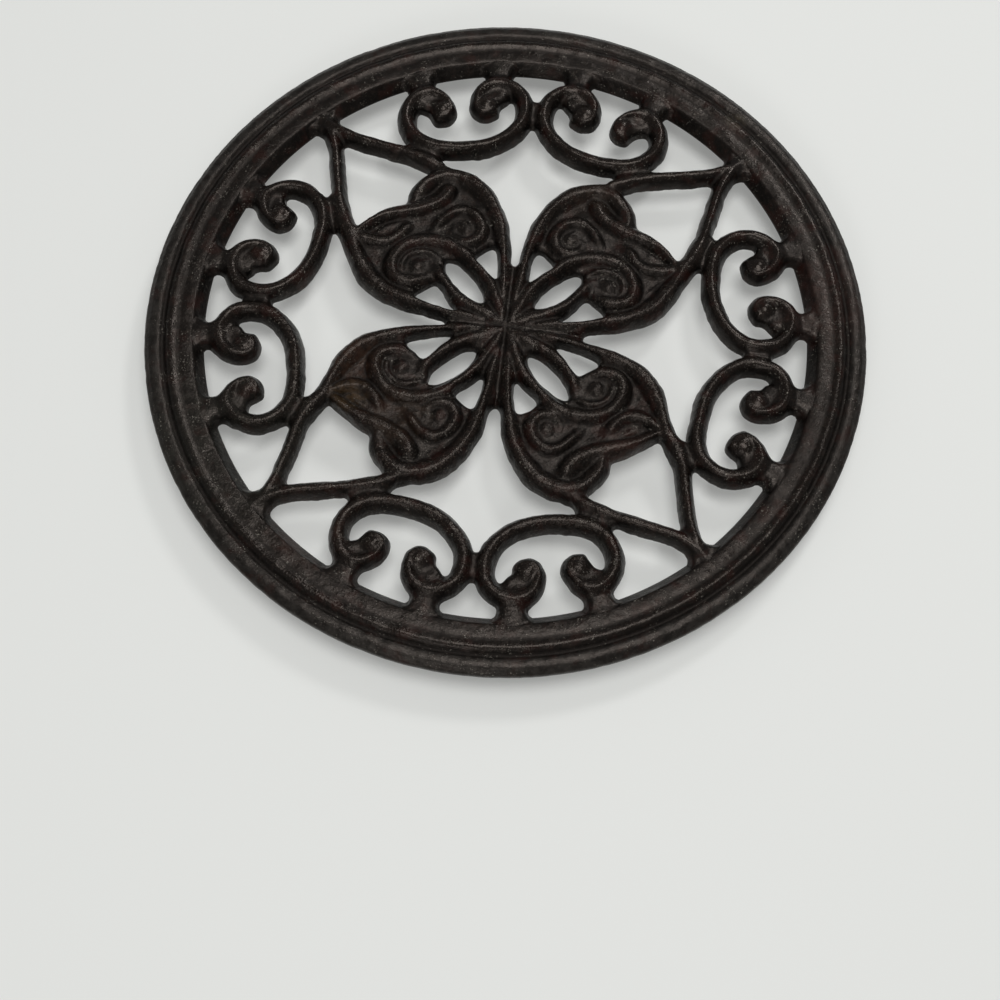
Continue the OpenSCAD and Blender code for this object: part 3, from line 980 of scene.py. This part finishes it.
def make_foot(name):
    """A short cast foot, flat where it stands and flared where it meets the rim."""
    low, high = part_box(name)
    radius = (high.x - low.x) / 2 / MM
    section = np.array([(r * radius, z * UNDERSIDE - UNDERSIDE) for r, z in FOOT_SECTION])
    middle = (low + high) / 2 / MM
    return turned("cast_" + name, finer(section, FOOT_PITCH), FOOT_SIDES, (middle.x, middle.y))


class Paint:
    """Short names for the nodes of one material."""

    def __init__(self, name):
        self.material = bpy.data.materials.new(name)
        self.material.use_nodes = True
        self.nodes = self.material.node_tree.nodes
        self.links = self.material.node_tree.links
        self.shader = self.nodes["Principled BSDF"]
        self.place = self.nodes.new("ShaderNodeTexCoord").outputs["Object"]

    def noise(self, scale, detail, rough):
        n = self.nodes.new("ShaderNodeTexNoise")
        n.inputs["Scale"].default_value = scale
        n.inputs["Detail"].default_value = detail
        n.inputs["Roughness"].default_value = rough
        self.links.new(self.place, n.inputs["Vector"])
        return n.outputs["Fac"]

    def set(self, socket, value):
        if isinstance(value, (int, float)):
            socket.default_value = value
        else:
            self.links.new(value, socket)

    def math(self, kind, a, b):
        n = self.nodes.new("ShaderNodeMath")
        n.operation = kind
        self.set(n.inputs[0], a)
        self.set(n.inputs[1], b)
        return n.outputs[0]

    def span(self, value, low, high, to_low=0.0, to_high=1.0):
        """The value's way from low to high, held at both ends, as a value from to_low to
        to_high."""
        n = self.nodes.new("ShaderNodeMapRange")
        n.interpolation_type = "SMOOTHSTEP"
        n.inputs["From Min"].default_value = low
        n.inputs["From Max"].default_value = high
        n.inputs["To Min"].default_value = to_low
        n.inputs["To Max"].default_value = to_high
        self.links.new(value, n.inputs["Value"])
        return n.outputs["Result"]

    def mix(self, share, a, b):
        n = self.nodes.new("ShaderNodeMix")
        n.data_type = "RGBA"
        self.set(n.inputs["Factor"], share)
        for socket, colour in zip(n.inputs[6:8], (a, b)):
            if isinstance(colour, tuple):
                socket.default_value = colour + (1,)
            else:
                self.links.new(colour, socket)
        return n.outputs[2]

    def away(self, place):
        """Distance in metres from a place given in mm over the table."""
        n = self.nodes.new("ShaderNodeVectorMath")
        n.operation = "DISTANCE"
        self.links.new(self.place, n.inputs[0])
        n.inputs[1].default_value = tuple(v * MM for v in place)
        return n.outputs["Value"]

    def near(self, place, reach):
        """A soft spot round a place: 1 in the middle, 0 beyond its reach in mm."""
        core = SPOT_CORE_SHARE * reach
        return self.span(self.away(place), core * MM, reach * MM, 1.0, 0.0)


class Iron(Paint):
    """Oiled cast iron: black brown with a sand-cast grain, worn crests, rusty hollows, and
    painted shade in the lows and creases.
    """

    def __init__(self):
        super().__init__("cast_iron")
        split = self.nodes.new("ShaderNodeSeparateXYZ")
        self.links.new(self.place, split.inputs[0])
        height = self.math("SUBTRACT", split.outputs["Z"], UNDERSIDE * MM)
        height = self.math("DIVIDE", height, MM)
        shift = self.math("MULTIPLY", self.noise(*BROAD_NOISE), WEAR_AND_SHADE_SHIFT)
        bend = self.nodes.new("ShaderNodeNewGeometry").outputs["Pointiness"]
        self.wear_and_shade = self.span(self.math("ADD", height, shift), *WEAR_AND_SHADE_HEIGHTS)
        self.crease = self.span(bend, *CREASE_SPAN)
        self.mottle = self.noise(*MOTTLE_NOISE)
        self.grain = self.noise(*GRAIN_NOISE)
        self.sand = self.noise(*SAND_NOISE)
        self.sandy = self.near(SANDY_PLACE, SANDY_REACH)
        self.links.new(self.colour(), self.shader.inputs["Base Color"])
        self.links.new(self.roughness(), self.shader.inputs["Roughness"])
        self.links.new(self.bumps(), self.shader.inputs["Normal"])
        self.shader.inputs["Specular IOR Level"].default_value = SHINE_LEVEL
        self.shader.inputs["Specular Tint"].default_value = SHINE_TINT + (1,)

    def colour(self):
        """The oiled iron: dirt and painted shade in the lows, rust, placed tints with one painted
        sheen, painted shade and soot in creases, sand with painted glints, and dust over it.
        """
        # Darker lower down: dirt with painted shade in the lows, and lighter worn crests.
        colour = self.mix(self.wear_and_shade, LOW_IRON_AND_SHADE, WORN_IRON)
        colour = self.mix(self.span(self.mottle, *MOTTLE_SPAN), colour, BROWN)
        patches = self.noise(*PATCH_NOISE)
        colour = self.mix(self.span(patches, *PATCH_SPAN), colour, RED_RUST)
        low, high = (share * RIM_R * MM for share in BAND_SHARES)
        band = self.span(self.away((0, 0, UNDERSIDE + BAND_HEIGHT)), low, high)
        band = self.math("MULTIPLY", band, self.span(self.mottle, *BAND_SPAN))
        colour = self.mix(band, colour, GREY_BAND)
        for place, reach, strength, tint in TINTS:
            broken = self.span(self.mottle, *TINT_SPAN, strength)
            spot = self.math("MULTIPLY", self.near(place, reach), broken)
            colour = self.mix(spot, colour, tint)
        # Painted shade in the creases, with soot.
        colour = self.mix(self.math("MULTIPLY", self.crease, CREASE_DARKNESS), colour, SHADE_AND_SOOT)
        colour = self.mix(self.span(self.grain, *PIT_SPAN), colour, PIT)
        # Pale specks, more on the crests: sand grains with painted glints.
        on_crests = self.span(self.wear_and_shade, *SAND_AND_GLINTS_ON_CRESTS)
        inward = self.span(self.sandy, *SAND_AND_GLINTS_INWARD)
        speck = self.math("MULTIPLY", self.span(self.sand, *SAND_AND_GLINTS_SPAN), on_crests)
        colour = self.mix(self.math("MULTIPLY", speck, inward), colour, SAND_AND_GLINTS)
        flecks = self.span(self.noise(*FLECK_NOISE), *FLECK_SPAN)
        clouds = self.span(self.noise(*CLOUD_NOISE), *CLOUD_SPAN)
        return self.mix(self.math("MULTIPLY", flecks, clouds), colour, DUST)

    def roughness(self):
        """Glossy where the oil lies on the crests, dull in the lows and the creases."""
        lows = self.span(self.wear_and_shade, *DULL_LOWS)
        rough = self.math("ADD", self.span(self.grain, *ROUGH_SPAN), lows)
        return self.math("ADD", rough, self.math("MULTIPLY", self.crease, CREASE_DULLNESS))

    def bumps(self):
        """The cast grain in three sizes, calmer towards the rim."""
        coarseness = self.span(self.sandy, 0.0, 1.0, CALM_GRAIN, 1.0)
        coarse = self.noise(*COARSE_NOISE)
        normal = None
        for height, depth in (
                (coarse, COARSE_DEPTH), (self.grain, GRAIN_DEPTH), (self.sand, SAND_DEPTH)):
            bump = self.nodes.new("ShaderNodeBump")
            bump.inputs["Strength"].default_value = 1.0
            bump.inputs["Distance"].default_value = depth * MM
            self.links.new(self.math("MULTIPLY", height, coarseness), bump.inputs["Height"])
            if normal:
                self.links.new(normal, bump.inputs["Normal"])
            normal = bump.outputs["Normal"]
        return normal


def make_stage():
    """The table: pale and matt. A part of what the camera and reflections see of it is its own
    pale colour, which throws no diffuse light on the trivet."""
    bpy.ops.mesh.primitive_plane_add(size=FLOOR_SIDE)
    floor = bpy.context.object
    floor.name = "floor"
    p = Paint("floor")
    p.shader.inputs["Base Color"].default_value = FLOOR_COLOUR + (1,)
    p.shader.inputs["Roughness"].default_value = FLOOR_ROUGHNESS
    glow = p.nodes.new("ShaderNodeEmission")
    glow.inputs["Color"].default_value = FLOOR_GLOW + (1,)
    ray = p.nodes.new("ShaderNodeLightPath").outputs
    seen = p.math("ADD", ray["Is Camera Ray"], ray["Is Glossy Ray"])
    seen = p.math("ADD", seen, ray["Is Transmission Ray"])
    blend = p.nodes.new("ShaderNodeMixShader")
    p.links.new(p.math("MULTIPLY", seen, GLOW_SHARE), blend.inputs["Fac"])
    p.links.new(p.shader.outputs["BSDF"], blend.inputs[1])
    p.links.new(glow.outputs["Emission"], blend.inputs[2])
    p.links.new(blend.outputs["Shader"], p.nodes["Material Output"].inputs["Surface"])
    floor.data.materials.append(p.material)


def make_light(name, place, size, power):
    """A round lamp that aims at the frame's origin."""
    data = bpy.data.lights.new(name, "AREA")
    data.shape = "DISK"
    data.size = size
    data.energy = power
    made = bpy.data.objects.new(name, data)
    made.location = place
    made.rotation_euler = (-Vector(place)).to_track_quat("-Z", "Y").to_euler()
    bpy.context.scene.collection.objects.link(made)


def make_world():
    world = bpy.data.worlds.new("world")
    world.use_nodes = True
    background = world.node_tree.nodes["Background"]
    background.inputs["Color"].default_value = (1.0, 1.0, 1.0, 1)
    background.inputs["Strength"].default_value = WORLD_STRENGTH
    bpy.context.scene.world = world


def make_camera():
    """The camera at the photograph's place and angle."""
    data = bpy.data.cameras.new("camera")
    data.sensor_width = CAMERA_SENSOR
    data.lens = CAMERA_LENS
    made = bpy.data.objects.new("camera", data)
    right = Vector(CAMERA_RIGHT)
    back = right.cross(Vector(CAMERA_UP)).normalized()
    up = back.cross(right).normalized()
    turn = Matrix((right.normalized(), up, back)).transposed().to_4x4()
    made.matrix_world = Matrix.Translation(CAMERA_PLACE) @ turn
    bpy.context.scene.collection.objects.link(made)
    bpy.context.scene.camera = made


iron = Iron().material
pieces = make_casting()
pieces["rim"] = make_rim()
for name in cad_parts:
    if name.startswith("foot"):
        pieces[name] = make_foot(name)
for name, piece in pieces.items():
    piece.data.materials.append(iron)
    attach(piece, "root")
    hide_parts(name)
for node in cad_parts.values():
    for slot in node.material_slots:
        slot.material = iron

make_stage()
for name, (place, size, power) in LAMPS.items():
    make_light(name, place, size, power)
make_world()
make_camera()
bpy.context.scene.view_settings.view_transform = "Standard"
